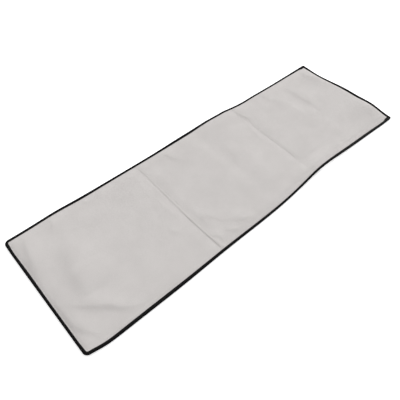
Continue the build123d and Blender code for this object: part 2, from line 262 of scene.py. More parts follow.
FOLDS = (  # panel, width of the steep and of the gentle side, height, route from end to end
    ("left", 30, 90, 4.9, [(0.285, 0.82), (0.215, 0.65), (0.175, 0.49), (0.16, 0.33)]),
    ("left", 28, 70, 3.2, [(0.225, 0.56), (0.205, 0.44), (0.18, 0.33)]),
    ("left", 10, 28, 3.2, [(0.07, 0.345), (0.165, 0.25), (0.25, 0.175), (0.3, 0.115), (0.39, 0.06)]),
    ("left", 9, 30, 2.6, [(0.036, 0.4), (0.036, 0.3), (0.046, 0.19), (0.11, 0.075)]),
    ("left", 12, 40, 3.0, [(0.1, 0.94), (0.055, 0.77), (0.036, 0.6)]),
    ("left", 6, 14, 1.1, [(0.29, 0.97), (0.286, 0.93), (0.275, 0.87)]),
    ("left", 6, 14, 0.8, [(0.53, 0.955), (0.545, 0.93), (0.57, 0.92)]),
    ("left", 8, 20, 0.9, [(0.825, 0.355), (0.844, 0.325), (0.87, 0.28)]),
    ("left", 5, 12, 0.7, [(0.972, 0.85), (0.965, 0.73), (0.963, 0.62)]),
    ("middle", 36, 95, 2.9, [(0.63, 0.99), (0.621, 0.63), (0.592, 0.3), (0.58, 0.18)]),
    ("middle", 26, 70, 1.8, [(0.554, 0.15), (0.532, 0.57), (0.496, 0.97)]),
    ("middle", 8, 20, 1.4, [(0.215, 0.95), (0.245, 0.875), (0.275, 0.8)]),
    ("middle", 7, 18, 0.9, [(0.025, 0.32), (0.107, 0.26), (0.156, 0.16)]),
    ("middle", 6, 15, 1.3, [(0.005, 0.16), (0.03, 0.12), (0.06, 0.08)]),
    ("middle", 13, 28, 2.6, [(0.19, 0.14), (0.27, 0.09), (0.335, 0.045)]),
    ("middle", 7, 16, 1.5, [(0.115, 0.105), (0.15, 0.078), (0.19, 0.05)]),
    ("middle", 6, 16, 0.9, [(0.987, 0.95), (0.961, 0.81), (0.925, 0.66)]),
    ("middle", 5, 14, 0.8, [(1.004, 0.42), (0.991, 0.32), (0.982, 0.22)]),
    ("right", 15, 50, 2.6, [(0.559, 0.9), (0.565, 0.69), (0.578, 0.44)]),
    ("right", 16, 40, 1.3, [(0.441, 0.54), (0.443, 0.68), (0.446, 0.82)]),
    ("right", 9, 24, 1.4, [(0.322, 0.99), (0.321, 0.9), (0.323, 0.76)]),
    ("right", 5, 12, 1.2, [(0.002, 0.88), (0.01, 0.83), (0.02, 0.78)]),
    ("right", 7, 20, 0.6, [(0.13, 0.185), (0.21, 0.19), (0.29, 0.18)]),
    ("right", 9, 26, 1.0, [(0.396, 0.486), (0.48, 0.465), (0.558, 0.45)]),
    ("right", 14, 40, 1.0, [(0.534, 0.19), (0.537, 0.3), (0.551, 0.42)]),
    ("right", 12, 34, 0.8, [(0.908, 0.222), (0.876, 0.145), (0.82, 0.075)]),
    ("right", 22, 60, 2.4, [(0.835, 0.95), (0.863, 0.82), (0.905, 0.7)]),
)


def folds(x, y):
    return sum(fold(x, y, *row) for row in FOLDS)


def puckers(x, y):
    """Small gathers where the tape and the fold seams hold the canvas."""
    edge_gap = np.minimum(WIDTH_HALF - TAPE_WIDTH - np.abs(y), LENGTH_HALF - TAPE_WIDTH - np.abs(x))
    run = np.where(WIDTH_HALF - np.abs(y) < LENGTH_HALF - np.abs(x), x, y)
    wave = np.sin(run / 6.1 + 2.2 * np.sin(run / 47) + np.sign(y)) * (0.6 + 0.4 * np.sin(run / 83))
    h = 0.22 * wave * np.exp(-np.clip(edge_gap, 0, None) / 14)
    for side in (-1, 1):
        gap = np.abs(x - side * SEAM - seam_shift(side, y))
        wave = np.sin(y / 5.2 + 2.6 * np.sin(y / 61) + side) * (0.5 + 0.5 * np.sin(y / 37 + side))
        h += 0.26 * wave * np.exp(-gap / 11)
    return h


SEAM_RIDGE = {-1: 1.1, 1: 0.1}  # how proud the lapped edge stands at each fold
SEAM_STEEP, SEAM_GENTLE = 1.1, 9.0


def seam_relief(x, y):
    """The lapped edge of the canvas along each fold: a sharp riser, falling away gently past it."""
    rise = np.zeros_like(x)
    for side in (-1, 1):
        waves = 0.25 * np.sin(y / 23 + side) + 0.2 * np.sin(y / 57 + 2 * side)
        firmness = np.clip(0.8 + waves, 0.2, 1.2) * (1 - 0.5 * ease((y + 60) / 240))
        past_crest = x - side * SEAM - seam_shift(side, y) - SEAM_STEEP
        width = np.where(past_crest < 0, SEAM_STEEP, SEAM_GENTLE)
        rise += SEAM_RIDGE[side] * firmness * np.exp(-((past_crest / width) ** 2) / 2)
    return rise


SLACK_RELIEF = {}  # panel -> grid lines and the simulated rise of its canvas


def simulated_rise(x, y):
    """The simulated rise of the canvas, read off each panel's grid."""
    rise = np.zeros_like(x)
    for xs, ys, heights in SLACK_RELIEF.values():
        u, v = (x - xs[0]) / (xs[1] - xs[0]), (y - ys[0]) / (ys[1] - ys[0])
        on = (u >= 0) & (u < len(xs) - 1) & (v >= 0) & (v < len(ys) - 1)
        i, j = np.where(on, u, 0).astype(int), np.where(on, v, 0).astype(int)
        a, b = u - i, v - j
        near = heights[i, j] * (1 - a) + heights[np.minimum(i + 1, len(xs) - 1), j] * a
        up = np.minimum(j + 1, len(ys) - 1)
        far = heights[i, up] * (1 - a) + heights[np.minimum(i + 1, len(xs) - 1), up] * a
        rise = np.where(on, near * (1 - b) + far * b, rise)
    return rise


def free_of_tape(x, y, run_side, run_end):
    """From 0 at the tape to 1 where the canvas lies free, run_side or run_end further in."""
    covered = TAPE_WIDTH + tape_wander(x, y)
    from_side = WIDTH_HALF - covered - np.abs(y)
    from_end = LENGTH_HALF - covered - np.abs(x)
    return ease(from_side / run_side) * ease(from_end / run_end)


def smooth_height(x, y):
    """Top of the back cover as it would be without a crease."""
    held = free_of_tape(x, y, HELD_RUN, HELD_RUN)
    return COVER_HEM + HELD_RISE * held + PAD_RISE * free_of_tape(x, y, RIM_RUN_SIDE, RIM_RUN_END)


def back_height(x, y):
    """Top of the back cover over the flat plan."""
    relief = folds(x, y) + seam_relief(x, y) + puckers(x, y) + simulated_rise(x, y)
    return smooth_height(x, y) + relief * free_of_tape(x, y, HELD_RUN, HELD_RUN)


STACK_CLEARANCE = 0.1
STACK_EDGE_RUN = 5.0
FOAM_BOXES = [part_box(f"{panel}_foam_pad") for panel in ("left", "middle", "right")]


def beyond_stack(x, y):
    """How far outside the foam and the laminate a place of the plan is."""
    outside = np.full(np.shape(x), np.inf)
    for low, high in FOAM_BOXES:
        beyond_x = np.maximum(low.x / MM - x, x - high.x / MM)
        beyond_y = np.maximum(low.y / MM - y, y - high.y / MM)
        outside = np.minimum(outside, np.maximum(beyond_x, beyond_y))
    return outside


def over_the_stack(x, y, height):
    """Keeps the back cover above the foam that it lies on, with a soft bend at the foam's edge."""
    lowest = STACK_TOP + CANVAS_THICK + STACK_CLEARANCE
    bend = 0.5
    kept_up = (height + lowest + np.sqrt((height - lowest) ** 2 + bend**2)) / 2
    return height + (1 - ease(beyond_stack(x, y) / STACK_EDGE_RUN)) * (kept_up - height)


# --- Mesh makers --------------------------------------------------------------------------------


def make_mesh(name, points, faces, place, material):
    """A mesh object from points in millimetres. place is each point's spot on the flat cloth."""
    mesh = bpy.data.meshes.new(name)
    mesh.from_pydata((np.asarray(points) * MM).tolist(), [], faces)
    mesh.validate()
    spot = mesh.attributes.new("cloth_place", "FLOAT_VECTOR", "POINT")
    flat = np.zeros((len(points), 3))
    flat[:, : np.shape(place)[1]] = np.asarray(place) * MM
    spot.data.foreach_set("vector", flat.astype(np.float32).ravel())
    mesh.polygons.foreach_set("use_smooth", [True] * len(mesh.polygons))
    mesh.materials.append(material)
    piece = bpy.data.objects.new(name, mesh)
    bpy.context.scene.collection.objects.link(piece)
    return piece


def turn_faces_out(piece):
    """Makes every face of a closed piece look outwards."""
    work = bmesh.new()
    work.from_mesh(piece.data)
    bmesh.ops.recalc_face_normals(work, faces=work.faces)
    work.to_mesh(piece.data)
    work.free()


def spaced(low, high, step, fine_at=(), fine_reach=11.0):
    """Grid lines from low to high, closer together round the places in fine_at."""
    lines = [low]
    while lines[-1] < high - 1e-6:
        here = lines[-1]
        close = any(abs(here - f) < fine_reach for f in fine_at)
        lines.append(min(here + (FINE_GRID if close else step), high))
    return np.array(lines)


def cloth_slab(name, xs, ys, surface, thickness, material):
    """A closed sheet of cloth over a grid. surface gives the place of its upper face."""
    grid_x, grid_y = np.meshgrid(xs, ys, indexing="ij")
    top = np.stack(surface(grid_x, grid_y), -1)
    across = np.gradient(top, axis=0)
    up = np.gradient(top, axis=1)
    normal = np.cross(across, up)
    normal /= np.maximum(np.linalg.norm(normal, axis=-1, keepdims=True), 1e-9)
    bottom = top - normal * thickness
    rows, columns = grid_x.shape
    count = rows * columns
    index = np.arange(count).reshape(rows, columns)
    upper = np.stack([index[:-1, :-1], index[1:, :-1], index[1:, 1:], index[:-1, 1:]], -1).reshape(-1, 4)
    rim = np.concatenate([index[:, 0], index[-1, 1:], index[-2::-1, -1], index[0, -2:0:-1]])
    after = np.roll(rim, -1)
    wall = np.stack([after, rim, rim + count, after + count], 1)
    faces = np.concatenate([upper, upper[:, ::-1] + count, wall])
    points = np.concatenate([top.reshape(-1, 3), bottom.reshape(-1, 3)])
    place = np.tile(np.stack([grid_x.ravel(), grid_y.ravel()], 1), (2, 1))
    return make_mesh(name, points, faces.tolist(), place, material)


# --- Simulated slack: each panel's canvas is a little larger than its frame, so it buckles over the foam

SIM_GRID = 7.0
SIM_SLACK = 0.0005
SIM_FRAMES = 16
SIM_CAP = 1.2  # the furthest that the canvas may rise or sink
HELD_BY_THREAD = 12.0
SIM_QUALITY = 6
SIM_POINT_MASS = 0.12
SIM_STRETCH_STIFFNESS = 25
SIM_BENDING_STIFFNESS = 2.5
SIM_GRAVITY = 0.05  # a share of real gravity, so that the slack isn't pressed flat
SIM_CLEARANCE = 0.0005  # in metres


def sim_grid(panel):
    low = PANEL_LEFT[panel] + (TAPE_WIDTH if panel == "left" else 0)
    high = PANEL_LEFT[panel] + PANEL_LONG - (TAPE_WIDTH if panel == "right" else 0)
    reach = WIDTH_HALF - TAPE_WIDTH
    xs = np.linspace(low, high, int((high - low) / SIM_GRID))
    return xs, np.linspace(-reach, reach, int(2 * reach / SIM_GRID))


def temporary_object(name, points, faces):
    mesh = bpy.data.meshes.new(name)
    mesh.from_pydata((points * MM).tolist(), [], faces)
    piece = bpy.data.objects.new(name, mesh)
    bpy.context.scene.collection.objects.link(piece)
    return piece


def simulate_slack(panel):
    """Lets one panel's slightly oversized canvas settle over its foam, and keeps how far it rises."""
    xs, ys = sim_grid(panel)
    grid_x, grid_y = np.meshgrid(xs, ys, indexing="ij")
    start = np.stack([grid_x, grid_y, smooth_height(grid_x, grid_y)], -1).reshape(-1, 3)
    index = np.arange(len(start)).reshape(grid_x.shape)
    quads = np.stack([index[:-1, :-1], index[1:, :-1], index[1:, 1:], index[:-1, 1:]], -1)
    canvas = temporary_object("canvas_in_simulation", start, quads.reshape(-1, 4).tolist())
    edge = np.minimum.reduce([grid_x - xs[0], xs[-1] - grid_x, grid_y - ys[0], ys[-1] - grid_y])
    pins = canvas.vertex_groups.new(name="held")
    pins.add(np.flatnonzero(edge.ravel() < HELD_BY_THREAD).tolist(), 1.0, "REPLACE")
    level = STACK_TOP + CANVAS_THICK / 2
    sheet = [(a * LENGTH_HALF, b * WIDTH_HALF, level) for a, b in ((-1, -1), (1, -1), (1, 1), (-1, 1))]
    foam = temporary_object("foam_in_simulation", np.array(sheet), [(0, 1, 2, 3)])
    foam.modifiers.new("collision", "COLLISION")
    foam.collision.thickness_outer = SIM_CLEARANCE
    modifier = canvas.modifiers.new("cloth", "CLOTH")
    cloth = modifier.settings
    cloth.quality = SIM_QUALITY
    cloth.mass = SIM_POINT_MASS
    cloth.tension_stiffness = cloth.compression_stiffness = SIM_STRETCH_STIFFNESS
    cloth.bending_stiffness = SIM_BENDING_STIFFNESS
    cloth.vertex_group_mass = "held"
    cloth.shrink_min = -SIM_SLACK
    cloth.effector_weights.gravity = SIM_GRAVITY
    modifier.collision_settings.distance_min = SIM_CLEARANCE
    scene = bpy.context.scene
    for frame_number in range(1, SIM_FRAMES + 1):
        scene.frame_set(frame_number)
    settled = canvas.evaluated_get(bpy.context.evaluated_depsgraph_get()).data
    heights = np.empty(len(start) * 3, np.float32)
    settled.vertices.foreach_get("co", heights)
    rise = heights.reshape(-1, 3)[:, 2] / MM - start[:, 2]
    rise = np.clip(rise, -SIM_CAP, SIM_CAP).reshape(grid_x.shape)
    for piece in (canvas, foam):
        bpy.data.objects.remove(piece, do_unlink=True)
    scene.frame_set(1)
    return xs, ys, rise * ease(edge / (4 * HELD_BY_THREAD))


def settle_canvas():
    """Simulates the canvas of all three panels."""
    SLACK_RELIEF.update({panel: simulate_slack(panel) for panel in PANEL_LEFT})


# --- Materials ------------------------------------------------------------------------------------


def new_material(name):
    material = bpy.data.materials.new(name)
    material.use_nodes = True
    tree = material.node_tree
    return material, tree, tree.nodes["Principled BSDF"]


def math_node(tree, kind, a, b=None):
    """A math node fed by sockets or numbers, as its output socket."""
    node = tree.nodes.new("ShaderNodeMath")
    node.operation = kind
    for socket, value in zip(node.inputs, (a, b)):
        if value is None:
            continue
        if isinstance(value, (int, float)):
            socket.default_value = value
        else:
            tree.links.new(value, socket)
    return node.outputs[0]


def noise_node(tree, vector, scale, detail=3.0, rough=0.55):
    node = tree.nodes.new("ShaderNodeTexNoise")
    node.inputs["Scale"].default_value = scale
    node.inputs["Detail"].default_value = detail
    node.inputs["Roughness"].default_value = rough
    tree.links.new(vector, node.inputs["Vector"])
    return node.outputs[0]


def ramp_node(tree, factor, stops):
    node = tree.nodes.new("ShaderNodeValToRGB")
    for i, (position, colour) in enumerate(stops):
        element = node.color_ramp.elements[i] if i < 2 else node.color_ramp.elements.new(position)
        element.position = position
        element.color = (*colour, 1)
    tree.links.new(factor, node.inputs[0])
    return node.outputs[0]


def bump_node(tree, shader, height, distance):
    """Relief of that height, in metres, on the shader."""
    node = tree.nodes.new("ShaderNodeBump")
    node.inputs["Distance"].default_value = distance
    node.inputs["Strength"].default_value = 1.0
    tree.links.new(height, node.inputs["Height"])
    tree.links.new(node.outputs[0], shader.inputs["Normal"])


def mixed_node(tree, parts):
    """The sum of sockets, each times its share, as an output socket."""
    total = None
    for socket, share in parts:
        part = math_node(tree, "MULTIPLY", socket, share)
        total = part if total is None else math_node(tree, "ADD", total, part)
    return total


def cloth_place(tree):
    node = tree.nodes.new("ShaderNodeAttribute")
    node.attribute_name = "cloth_place"
    return node.outputs["Vector"]


def plain_weave(tree, place, pitch):
    """Height of a plain weave: warp and weft threads take turns on top."""
    split = tree.nodes.new("ShaderNodeSeparateXYZ")
    tree.links.new(place, split.inputs[0])
    turn = math.pi / pitch
    u = math_node(tree, "SINE", math_node(tree, "MULTIPLY", split.outputs[0], turn))
    v = math_node(tree, "SINE", math_node(tree, "MULTIPLY", split.outputs[1], turn))
    over = math_node(tree, "MULTIPLY", u, v)
    ridge_u = math_node(tree, "ABSOLUTE", u)
    ridge_v = math_node(tree, "ABSOLUTE", v)
    warp = math_node(tree, "MAXIMUM", over, 0.0)
    under = math_node(tree, "MULTIPLY", over, -1.0)
    weft = math_node(tree, "MULTIPLY", math_node(tree, "MAXIMUM", under, 0.0), 0.9)
    knots = math_node(tree, "MULTIPLY", math_node(tree, "ADD", ridge_u, ridge_v), 0.25)
    return math_node(tree, "ADD", math_node(tree, "MAXIMUM", warp, weft), knots)


def woven_material(name, dark, light, pitch, depth, roughness, sheen):
    """Woven cloth: thread relief, uneven dye with painted shade between the threads, and slightly fuzzy
    light at grazing angles.
    """
    material, tree, shader = new_material(name)
    place = cloth_place(tree)
    weave = plain_weave(tree, place, pitch)
    blotch = noise_node(tree, place, 9.0, 4.0, 0.6)
    slub = noise_node(tree, place, 260.0, 2.0, 0.5)
    # the colour is the dye's random blotches and slubs plus painted shade: the weave's height makes the
    # gaps between and under the threads darker
    dye_and_thread_shade = mixed_node(tree, [(blotch, 0.55), (slub, 0.3), (weave, 0.16)])
    colour = ramp_node(tree, dye_and_thread_shade, [(0.3, dark), (0.72, light)])
    tree.links.new(colour, shader.inputs["Base Color"])
    rough = math_node(tree, "ADD", math_node(tree, "MULTIPLY", slub, 0.12), roughness - 0.06)
    tree.links.new(rough, shader.inputs["Roughness"])
    shader.inputs["Sheen Weight"].default_value = sheen
    shader.inputs["Sheen Roughness"].default_value = 0.5
    shader.inputs["Specular IOR Level"].default_value = 0.08
    height = math_node(tree, "ADD", weave, math_node(tree, "MULTIPLY", slub, 0.5))
    bump_node(tree, shader, height, depth)
    return material


def object_place(tree):
    return tree.nodes.new("ShaderNodeTexCoord").outputs["Object"]


def moulded_material(name, dark, light, roughness, grain, metallic=0.0):
    """Moulded plastic, rubber or metal with a fine surface grain and worn patches."""
    material, tree, shader = new_material(name)
    place = object_place(tree)
    patches = noise_node(tree, place, 60.0, 4.0, 0.6)
    tree.links.new(ramp_node(tree, patches, [(0.35, dark), (0.7, light)]), shader.inputs["Base Color"])
    fine = noise_node(tree, place, grain, 3.0, 0.6)
    rough = math_node(tree, "ADD", math_node(tree, "MULTIPLY", patches, 0.18), roughness - 0.09)
    tree.links.new(rough, shader.inputs["Roughness"])
    shader.inputs["Metallic"].default_value = metallic
    bump_node(tree, shader, fine, 0.00004)
    return material


FINGER_PITCH = 0.0016


def cell_material():
    """Blue-black silicon with fine printed fingers across the ribbons."""
    material, tree, shader = new_material("silicon_cell")
    place = object_place(tree)
    split = tree.nodes.new("ShaderNodeSeparateXYZ")
    tree.links.new(place, split.inputs[0])
    turn = math_node(tree, "MULTIPLY", split.outputs[0], math.pi / FINGER_PITCH)
    finger = math_node(tree, "ABSOLUTE", math_node(tree, "SINE", turn))
    line = math_node(tree, "LESS_THAN", finger, 0.09)
    tint = noise_node(tree, place, 7.0, 3.0, 0.5)
    silicon = ramp_node(tree, tint, [(0.3, (0.006, 0.008, 0.022)), (0.75, (0.012, 0.02, 0.055))])
    mix = tree.nodes.new("ShaderNodeMix")
    mix.data_type = "RGBA"
    tree.links.new(line, mix.inputs["Factor"])
    tree.links.new(silicon, mix.inputs[6])
    mix.inputs[7].default_value = (0.09, 0.1, 0.12, 1)
    tree.links.new(mix.outputs[2], shader.inputs["Base Color"])
    rough = math_node(tree, "ADD", math_node(tree, "MULTIPLY", tint, 0.15), 0.22)
    tree.links.new(rough, shader.inputs["Roughness"])
    shader.inputs["Specular IOR Level"].default_value = 0.3
    bump_node(tree, shader, finger, 0.00001)
    return material


def film_material():
    """Clear embossed film over the cells."""
    material, tree, shader = new_material("clear_film")
    place = object_place(tree)
    shader.inputs["Base Color"].default_value = (0.75, 0.8, 0.83, 1)
    shader.inputs["Alpha"].default_value = 0.06
    shader.inputs["Specular IOR Level"].default_value = 0.2
    emboss = tree.nodes.new("ShaderNodeTexVoronoi")
    emboss.inputs["Scale"].default_value = 900.0
    tree.links.new(place, emboss.inputs["Vector"])
    bump_node(tree, shader, emboss.outputs["Distance"], 0.00005)
    scuff = noise_node(tree, place, 25.0, 4.0, 0.6)
    rough = math_node(tree, "ADD", math_node(tree, "MULTIPLY", scuff, 0.2), 0.1)
    tree.links.new(rough, shader.inputs["Roughness"])
    return material


CANVAS = woven_material(
    "canvas", (0.45, 0.43, 0.42), (0.518, 0.496, 0.485),
    pitch=0.0009, depth=0.00016, roughness=0.95, sheen=0.03,
)
TAPE = woven_material(
    "binding_tape", (0.0015, 0.0014, 0.0015), (0.0045, 0.0042, 0.0044),
    pitch=0.0007, depth=0.00018, roughness=0.9, sheen=0.0,
)
THREAD_LIGHT = moulded_material("canvas_thread", (0.36, 0.345, 0.33), (0.5, 0.48, 0.46), 0.8, 4000.0)
THREAD_DARK = moulded_material("tape_thread", (0.01, 0.01, 0.01), (0.022, 0.021, 0.021), 0.7, 4000.0)

MOULDED_LOOKS = (  # slot, dark and light colour, roughness, grain, metallic
    ("tinned_ribbon", (0.55, 0.56, 0.57), (0.72, 0.73, 0.74), 0.32, 2500.0, 1.0),
    ("white_backsheet", (0.62, 0.63, 0.63), (0.7, 0.71, 0.71), 0.5, 1500.0, 0.0),
    ("flat_lead", (0.5, 0.27, 0.16), (0.66, 0.38, 0.25), 0.35, 3000.0, 1.0),
    ("stiffener", (0.05, 0.05, 0.055), (0.08, 0.08, 0.085), 0.6, 1200.0, 0.0),
    ("foam", (0.22, 0.22, 0.23), (0.3, 0.3, 0.31), 0.95, 900.0, 0.0),
    ("black_plastic", (0.014, 0.014, 0.015), (0.028, 0.028, 0.03), 0.5, 1800.0, 0.0),
    ("gasket_rubber", (0.012, 0.012, 0.012), (0.024, 0.024, 0.024), 0.75, 2600.0, 0.0),
    ("steel_screw", (0.45, 0.45, 0.46), (0.6, 0.6, 0.61), 0.3, 3000.0, 1.0),
    ("brass_terminal", (0.55, 0.4, 0.16), (0.7, 0.54, 0.25), 0.3, 3000.0, 1.0),
)
CAD_LOOKS = {"silicon_cell": cell_material(), "clear_film": film_material()}
CAD_LOOKS.update({slot: moulded_material(slot, *look) for slot, *look in MOULDED_LOOKS})


def dress_cad_nodes():
    """Gives each CAD node the finished material of its slot."""
    slot_of = {s["node"]: s["material_slot"] for s in frame["record"]["subparts"]}
    for node, piece in frame["nodes"].items():
        look = CAD_LOOKS.get(slot_of[node])
        if look:
            piece.data.materials.clear()
            piece.data.materials.append(look)


# --- Covers -----------------------------------------------------------------------------------------
BACK_SWAY_REACH, BACK_LIFT_REACH = 120.0, 95.0
FRONT_REACH = 14.0
WRAP_RUN = 4.0  # a lifted edge's lower canvas comes up from under the laminate over this
LAP_X = PANEL_EDGE - HEM_LAP + 1.5
UNDERLAP = 4.0
FOLD_DETAIL = (-SEAM, -LAP_X, LAP_X, SEAM)  # where the cloth has its finest shape, along X
HIDDEN_EDGE = 1.6  # the covers stop this far inside the tape's outer edge


def back_surface(x, y):
    height = back_height(x, y)
    moved_x, moved_y, lift = lie(x, y, BACK_SWAY_REACH, BACK_LIFT_REACH)
    return moved_x, moved_y, over_the_stack(moved_x, moved_y, height + lift)


HEM_STEP = 0.05  # how far the middle cover lies below the end covers, up to their hems
HEM_CLEARANCE = 0.15  # its gap to the hem that it lies under


def lapped_surface(drop):
    """The back surface for the middle cover, whose edges lie under the end covers' hems."""

    def surface(x, y):
        moved_x, moved_y, height = back_surface(x, y)
        under = ease((np.abs(x) - (LAP_X + 0.4)) / 1.6)
        return moved_x, moved_y, height - HEM_STEP - drop * under

    return surface


def back_covers():
    y_edge = WIDTH_HALF - HIDDEN_EDGE
    ys = spaced(-y_edge, y_edge, GRID)
    made = {}
    for name, low, high in (
        ("left", -LENGTH_HALF + HIDDEN_EDGE, -LAP_X),
        ("middle", -LAP_X - UNDERLAP, LAP_X + UNDERLAP),
        ("right", LAP_X, LENGTH_HALF - HIDDEN_EDGE),
    ):
        xs = spaced(low, high, GRID, fine_at=FOLD_DETAIL)
        surface = lapped_surface(CANVAS_THICK + HEM_CLEARANCE) if name == "middle" else back_surface
        cover = cloth_slab(f"{name}_canvas_back", xs, ys, surface, CANVAS_THICK, CANVAS)
        made[name] = cover
    return made


FILM_GAP = 0.02
FRONT_HELD_RUN, FRONT_HELD_RISE = 8.0, 0.25  # the lower canvas comes up to the tape that holds it
FRONT_TUCK, FRONT_TUCK_WIDTH = 0.5, 1.5  # and it is drawn up along each fold's stitching
GLAND_DIP, GLAND_DIP_WIDTH = 0.4, 16.0  # it hangs a little lower at the gland, to clear it
GLAND_DIP_FROM, GLAND_DIP_RUN = 865.0, 12.0


def front_surface(x, y):
    """Upper face of the front cover, which lies against the clear film round the window."""
    moved_x, moved_y, lift = lie(x, y, FRONT_REACH, FRONT_REACH, raised=0.0)
    from_side = (WIDTH_HALF - TAPE_WIDTH - np.abs(y)) / FRONT_HELD_RUN
    from_end = (LENGTH_HALF - TAPE_WIDTH - np.abs(x)) / FRONT_HELD_RUN
    held = ease(from_side) * ease(from_end)
    height = FILM_BOTTOM - FILM_GAP + FRONT_HELD_RISE * (1 - held)
    for side in (-1, 1):
        gap = np.abs(x - side * SEAM)
        height = height + FRONT_TUCK * np.exp(-((gap / FRONT_TUCK_WIDTH) ** 2))
    gland_y = (GLAND_LOW + GLAND_HIGH) / 2
    dip = bump(y, gland_y, GLAND_DIP_WIDTH, GLAND_DIP) * ease((x - GLAND_DIP_FROM) / GLAND_DIP_RUN)
    height = height - dip
    clear_of_stack = ease((beyond_stack(moved_x, moved_y) - 1) / WRAP_RUN)
    return moved_x, moved_y, height + lift * clear_of_stack


OUTLET_EDGE = 7.5  # the lower cover stops short of the gland's window
WINDOW_LIP = 4.0  # the strips stop this far from the cells


def front_strips(name, low, high):
    """The four strips of canvas round a window, as (part of the name, x range, y range)."""
    cells_low, cells_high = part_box(f"{name}_solar_cells")
    left, right = cells_low.x / MM - WINDOW_LIP, cells_high.x / MM + WINDOW_LIP
    near, far = cells_low.y / MM - WINDOW_LIP, cells_high.y / MM + WINDOW_LIP
    edge = WIDTH_HALF - HIDDEN_EDGE
    return (
        ("left", (low, left), (-edge, edge)),
        ("right", (right, high), (-edge, edge)),
        ("near", (left, right), (-edge, near)),
        ("far", (left, right), (far, edge)),
    )


def front_covers():
    made = {}
    for name, low, high in (
        ("left", -LENGTH_HALF + HIDDEN_EDGE, -LAP_X),
        ("middle", -LAP_X, LAP_X),
        ("right", LAP_X, LENGTH_HALF - OUTLET_EDGE),
    ):
        made[name] = []
        for part, (x_low, x_high), (y_low, y_high) in front_strips(name, low, high):
            xs = spaced(x_low, x_high, GRID, fine_at=FOLD_DETAIL)
            ys = spaced(y_low, y_high, GRID)
            piece_name = f"{name}_canvas_front_{part}"
            strip = cloth_slab(piece_name, xs, ys, front_surface, CANVAS_THICK, CANVAS)
            made[name].append(strip)
    return made


# --- Binding tape -------------------------------------------------------------------------------------


ROLL = 5.2  # the tape is round up to this far in from its edge
ROLL_BULGE, ROLL_STEPS = 2.6, 8
PRESSED = 0.12  # the stitched edge lies a little lower
WINDOW_FROM, WINDOW_TO = 3, 6  # points of the section between which the gland's window is open


def tape_profile():
    """The tape's closed C-section as (inset from the edge, height) pairs."""
    half = TAPE_HEIGHT / 2
    outer, inner = [(TAPE_WIDTH, 0.0), (ROLL, 0.0)], [(TAPE_WIDTH, TAPE_THICK), (ROLL, TAPE_THICK)]
    for step in range(ROLL_STEPS + 1):
        angle = -math.pi / 2 + math.pi * step / ROLL_STEPS
        inset = ROLL_BULGE * (1 - math.cos(angle))
        outer.append((inset, half + half * math.sin(angle)))
        inner.append((TAPE_THICK + inset, half + (half - TAPE_THICK) * math.sin(angle)))
    outer += [(ROLL, TAPE_HEIGHT), (TAPE_WIDTH, TAPE_HEIGHT - PRESSED)]
    inner += [(ROLL, TAPE_HEIGHT - TAPE_THICK), (TAPE_WIDTH, TAPE_HEIGHT - TAPE_THICK - PRESSED)]
    return np.array(outer + inner[::-1])


def tape_piece(name, corners, step=4.0, window=None):
    """Tape along straight runs between corners of the square plan, mitred where it turns.
    Each corner is (x, y, inward x, inward y): how the corner moves as the section goes inwards.
    window is a range of y where the tape's outer wall at the blanket's end is open."""
    profile = tape_profile()
    rings, places, run, opened = [], [], 0.0, []
    for (ax, ay, aix, aiy), (bx, by, bix, biy) in zip(corners, corners[1:]):
        length = math.hypot(bx - ax, by - ay)
        count = max(2, int(length / step))
        last = (bx, by) == corners[-1][:2]
        shares = np.linspace(0, 1, count + 1)
        if not last:
            shares = shares[:-1]
        for share in shares:
            edge_x, edge_y = (1 - share) * ax + share * bx, (1 - share) * ay + share * by
            past_roll = np.clip((profile[:, 0] - ROLL) / (TAPE_WIDTH - ROLL), 0, 1)
            inset = profile[:, 0] + past_roll * tape_wander(edge_x, edge_y)
            x = (1 - share) * (ax + aix * inset) + share * (bx + bix * inset)
            y = (1 - share) * (ay + aiy * inset) + share * (by + biy * inset)
            top_share = profile[:, 1] / TAPE_HEIGHT
            moved_x, moved_y, lift = lie(x, y, BACK_SWAY_REACH, BACK_LIFT_REACH, raised=top_share)
            if window and edge_x == LENGTH_HALF and window[0] - step < edge_y < window[1] + step:
                opened.append(len(rings))
            here = run + share * length
            ripple = 0.14 * math.sin(here / 6.1 + 2.2 * math.sin(here / 47)) + 0.1 * math.sin(here / 15.7)
            swell = ripple * np.sin(np.pi * np.clip(profile[:, 1] / TAPE_HEIGHT, 0, 1)) ** 0.5
            rings.append(np.stack([moved_x, moved_y, profile[:, 1] + lift + swell * top_share], 1))
            places.append(np.stack([np.full(len(profile), here), profile[:, 0] + profile[:, 1]], 1))
        run += length
    sides = len(profile)
    half = sides // 2

    def point(ring, i):
        return ring * sides + i % sides

    def cut_away(ring, i):
        in_wall = WINDOW_FROM <= i < WINDOW_TO or sides - 1 - WINDOW_TO <= i < sides - 1 - WINDOW_FROM
        return in_wall and ring in opened[:-1]

    faces = [
        (point(r, i), point(r, i + 1), point(r + 1, i + 1), point(r + 1, i))
        for r in range(len(rings) - 1)
        for i in range(sides)
        if not cut_away(r, i)
    ]
    for r in opened[:-1]:
        for i in (WINDOW_FROM, WINDOW_TO):
            faces.append((point(r, i), point(r + 1, i), point(r + 1, -1 - i), point(r, -1 - i)))
    for r in (opened[0], opened[-1]) if opened else ():
        for i in range(WINDOW_FROM, WINDOW_TO):
            faces.append((point(r, i), point(r, i + 1), point(r, -2 - i), point(r, -1 - i)))
    for ring, flip in ((0, False), (len(rings) - 1, True)):
        for i in range(half - 1):
            face = (point(ring, i), point(ring, -1 - i), point(ring, -2 - i), point(ring, i + 1))
            faces.append(face[::-1] if flip else face)
    tape = make_mesh(name, np.concatenate(rings), faces, np.concatenate(places), TAPE)
    turn_faces_out(tape)
    return tape


